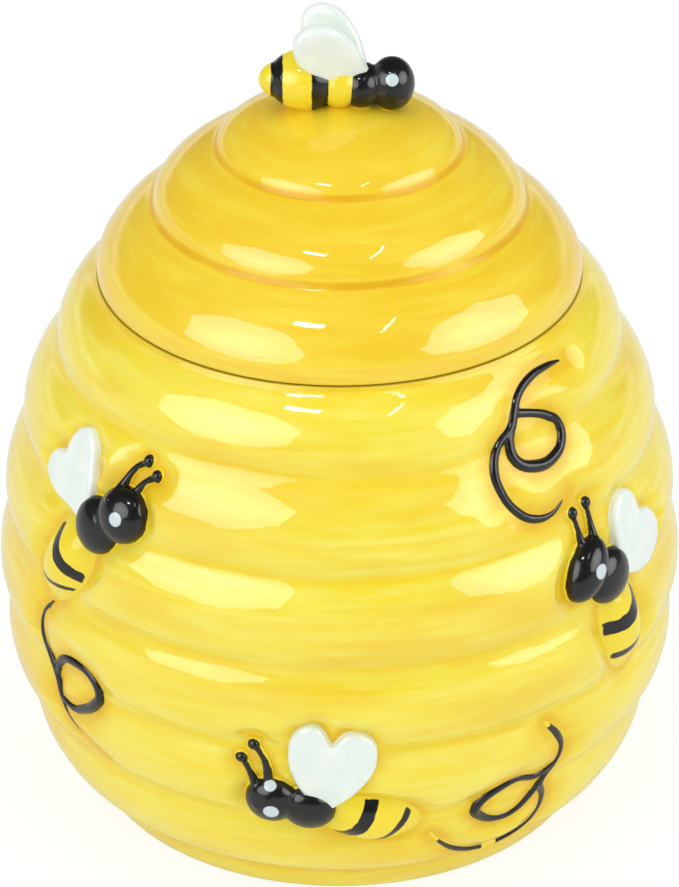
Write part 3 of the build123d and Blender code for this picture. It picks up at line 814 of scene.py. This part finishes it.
for trail_name, lines in TRAILS.items():
    bead = bmesh.new()
    for line in lines:
        wire(bead, [on_wall(azimuth, height, 0.1) for azimuth, height, _ in line],
             [half_width for _, _, half_width in line])
    bead = melted(bead, 0.35, 2)
    tips = [(on_wall(*place), size) for place, size in BARE_TIPS[trail_name]]

    def bead_ink(point, tips=tips):
        """How far inside the black a point of the bead is: on top, and clear of the bare tips."""
        return min([over_wall(point)[0] - 0.35] + [(point - tip).length - size for tip, size in tips])

    add_marks(bead, bead_ink)
    fired(bead, trail_name + "_clay", black_glaze, "jar", "black_glaze", trail_name)


# The knob. A bee modelled in the round lies across the crown, and its two thick wings lean back
# over its abdomen so that finger and thumb can hold it.
KNOB_SINK = 0.8
KNOB_EYE_SIZE = 1.7
KNOB_BANDS = ((-18.3, -15.1), (-7.4, -3.0))
KNOB_WING = ((-3.8, 0.0), (2.8, 5.1), (11.2, 7.8), (18.6, 6.9), (22.8, 0.9), (19.0, -5.2),
             (11.2, -6.9), (2.8, -4.7))
# Side, name, lean and share of full size of each wing
KNOB_WINGS = ((-1, "front_wing", (-17.5, -7.5, 15.8), 1.0), (1, "rear_wing", (-13.8, 7.5, 14.6), 0.94))


def over_crown(point):
    """Height of a point over the crown of the lid, and the direction out of it there."""
    reach = point - Vector((0, 0, CROWN_TOP - CROWN_BALL))
    return reach.length - CROWN_BALL, reach.normalized()


def on_crown(x, radius):
    """Centre of a ball that is pressed a little into the crown at a distance along X."""
    return Vector((x, 0, CROWN_TOP - CROWN_BALL + math.sqrt(CROWN_BALL**2 - x**2) + radius - KNOB_SINK))


abdomen = bmesh.new()
ovoid(abdomen, on_crown(-9.7, 8.2), (9.6, 8.2, 8.2), 0, 64)
ovoid(abdomen, on_crown(-9.7, 8.2) + Vector((-6.6, 0, 0)), (5.4, 4.8, 4.8))
ovoid(abdomen, on_crown(-0.2, 6.4), (6.8, 6.8, 6.4))
abdomen = melted(abdomen, 0.4, 6)
seat(abdomen, 0.5, 1.4, over_crown)
add_marks(abdomen, lambda point: max(min(point.x - low, high - point.x) for low, high in KNOB_BANDS))
fired(abdomen, "knob_abdomen_clay", banded_glaze, "lid", "banded_glaze", "knob_bee_abdomen")

body = bmesh.new()
head_centre = on_crown(14.0, 7.4) + Vector((0, 0, 0.6))
ovoid(body, on_crown(5.8, 6.2), (6.0, 6.5, 6.2))
ovoid(body, head_centre, (6.2, 6.6, 7.4))
body = melted(body, 0.35, 5)
seat(body, 0.5, 1.2, over_crown)
eyes = [(head_centre + Vector((0, side * 5.6, 3.6)), KNOB_EYE_SIZE) for side in (-1, 1)]
add_marks(body, lambda point: over_crown(point)[0] - 0.5, eyes)
fired(body, "knob_body_clay", black_glaze, "lid", "black_glaze", "knob_bee_head", "knob_bee_thorax")

for side, wing_name, lean, size in KNOB_WINGS:
    lean = Vector(lean).normalized()
    across = Vector((0, 1, 0)).cross(lean).normalized()
    face = lean.cross(across)
    root = on_crown(4.8, 5.7) + Vector((0, side * 1.4, 3.8))
    wing_frame = Matrix.Translation(root) @ Matrix((lean, face.cross(lean), face)).transposed().to_4x4()
    wing = bmesh.new()
    plate(wing, KNOB_WING, (), -2.1, 2.1, 1.9)
    wing = melted(wing, 0.45, 5)
    bmesh.ops.transform(wing, matrix=wing_frame @ Matrix.Scale(size, 4), verts=wing.verts)
    fired(wing, "knob_" + wing_name + "_clay", white_glaze, "lid", "white_glaze", "knob_bee_" + wing_name)


# The studio. A white sweep lies under the jar, two wide soft boxes stand in front to the left
# and right, and a small lamp and a bare tube hang between them.
FLOOR_WHITE = (0.88, 0.88, 0.88, 1)
STUDIO_DISTANCE = 1.6
STUDIO_CENTRE = Vector((0, 0, 0.12))


def studio_direction(azimuth, elevation):
    """Unit vector from the jar, by azimuth from the front towards the right."""
    turn, tilt = math.radians(azimuth), math.radians(elevation)
    return Vector((math.sin(turn) * math.cos(tilt), -math.cos(turn) * math.cos(tilt), math.sin(tilt)))


def facing_jar(piece, azimuth, elevation, distance):
    """Puts a lamp or panel in a direction from the jar and turns it to face it."""
    direction = studio_direction(azimuth, elevation)
    piece.location = STUDIO_CENTRE + direction * distance
    piece.rotation_euler = direction.to_track_quat("Z", "Y").to_euler()
    bpy.context.scene.collection.objects.link(piece)


def soft_light(name, azimuth, elevation, size, power):
    """Lamp that lights the paint and leaves no reflection of its own."""
    lamp = bpy.data.lights.new(name, "AREA")
    lamp.shape = "RECTANGLE"
    lamp.size, lamp.size_y = size
    lamp.energy = power
    piece = bpy.data.objects.new(name, lamp)
    facing_jar(piece, azimuth, elevation, STUDIO_DISTANCE)
    piece.visible_glossy = False
    piece.visible_camera = False


def bright_panel(name, azimuth, elevation, width, height, strength, sides=4, turn=0.0):
    """Panel that only shows as a reflection in the glaze, brighter in its middle."""
    mesh = bmesh.new()
    bmesh.ops.create_circle(mesh, cap_ends=True, segments=sides, radius=0.5 / math.cos(math.pi / sides))
    bmesh.ops.rotate(mesh, cent=(0, 0, 0), matrix=Matrix.Rotation(math.pi / sides, 3, "Z"), verts=mesh.verts)
    bmesh.ops.scale(mesh, vec=(width, height, 1), verts=mesh.verts)
    bmesh.ops.rotate(mesh, cent=(0, 0, 0), matrix=Matrix.Rotation(turn, 3, "Z"), verts=mesh.verts)
    data = bpy.data.meshes.new(name)
    mesh.to_mesh(data)
    mesh.free()
    material = bpy.data.materials.new(name)
    material.use_nodes = True
    tree = material.node_tree
    tree.nodes.remove(tree.nodes["Principled BSDF"])
    at = add(tree, "ShaderNodeTexCoord").outputs["Object"]
    scaled = add(tree, "ShaderNodeMapping", {"Vector": at, "Scale": (2 / width, 2 / height, 1)})
    off_middle = add(tree, "ShaderNodeVectorMath", {0: scaled.outputs[0]}, operation="LENGTH")
    fall = stepped(tree, off_middle.outputs["Value"], 1.1, 0.1)
    level = total(tree, product(tree, fall, 0.35), 0.65)
    emission = add(tree, "ShaderNodeEmission", {"Strength": product(tree, level, strength)})
    tree.links.new(emission.outputs[0], tree.nodes["Material Output"].inputs["Surface"])
    data.materials.append(material)
    piece = bpy.data.objects.new(name, data)
    facing_jar(piece, azimuth, elevation, STUDIO_DISTANCE)
    piece.visible_camera = False
    piece.visible_diffuse = False
    piece.visible_shadow = False


soft_light("left_light", -48, 35, (1.6, 1.2), 5)
soft_light("right_light", 60, 35, (1.6, 1.2), 5)
soft_light("top_light", 0, 78, (1.6, 1.6), 4)
bright_panel("left_box", -47, 26.5, 1.6, 1.3, 5.4, 8)
bright_panel("right_box", 69, 24, 1.6, 1.2, 5.4, 8)
bright_panel("lamp_strip", -21, 59, 0.3, 0.1, 40)
bright_panel("lamp_tube", 31, 56, 0.42, 0.04, 26, 4, math.radians(50))

floor = bmesh.new()
bmesh.ops.create_grid(floor, x_segments=1, y_segments=1, size=6)
floor_data = bpy.data.meshes.new("floor")
floor.to_mesh(floor_data)
floor.free()
floor_material = bpy.data.materials.new("white_sweep")
floor_material.use_nodes = True
sweep = floor_material.node_tree
floor_shader = sweep.nodes["Principled BSDF"]
floor_shader.inputs["Base Color"].default_value = FLOOR_WHITE
floor_shader.inputs["Roughness"].default_value = 0.9
bright = add(sweep, "ShaderNodeEmission", {"Strength": 1.1}).outputs[0]
rays = add(sweep, "ShaderNodeLightPath")
lit = total(sweep, product(sweep, rays.outputs["Is Camera Ray"], 0.72),
            product(sweep, rays.outputs["Is Diffuse Ray"], 0.4))
surface = add(sweep, "ShaderNodeMixShader", {0: lit, 1: floor_shader.outputs[0], 2: bright}).outputs[0]
sweep.links.new(surface, sweep.nodes["Material Output"].inputs["Surface"])
floor_data.materials.append(floor_material)
floor_piece = bpy.data.objects.new("floor", floor_data)
floor_piece.location.z = -0.0002
bpy.context.scene.collection.objects.link(floor_piece)

world = bpy.data.worlds.new("studio")
bpy.context.scene.world = world
world.use_nodes = True
sky = world.node_tree
paths = add(sky, "ShaderNodeLightPath")
direction = add(sky, "ShaderNodeSeparateXYZ", {0: add(sky, "ShaderNodeTexCoord").outputs["Generated"]})
dark_room = stepped(sky, direction.outputs["Z"], 0.02, 0.14)
mirrored = mixed(sky, dark_room, (0.9, 0.9, 0.9, 1), (0.12, 0.12, 0.12, 1))
room = mixed(sky, paths.outputs["Is Glossy Ray"], (0.74, 0.74, 0.74, 1), mirrored)
backdrop = mixed(sky, paths.outputs["Is Camera Ray"], room, (1, 1, 1, 1))
sky.links.new(backdrop, sky.nodes["Background"].inputs["Color"])
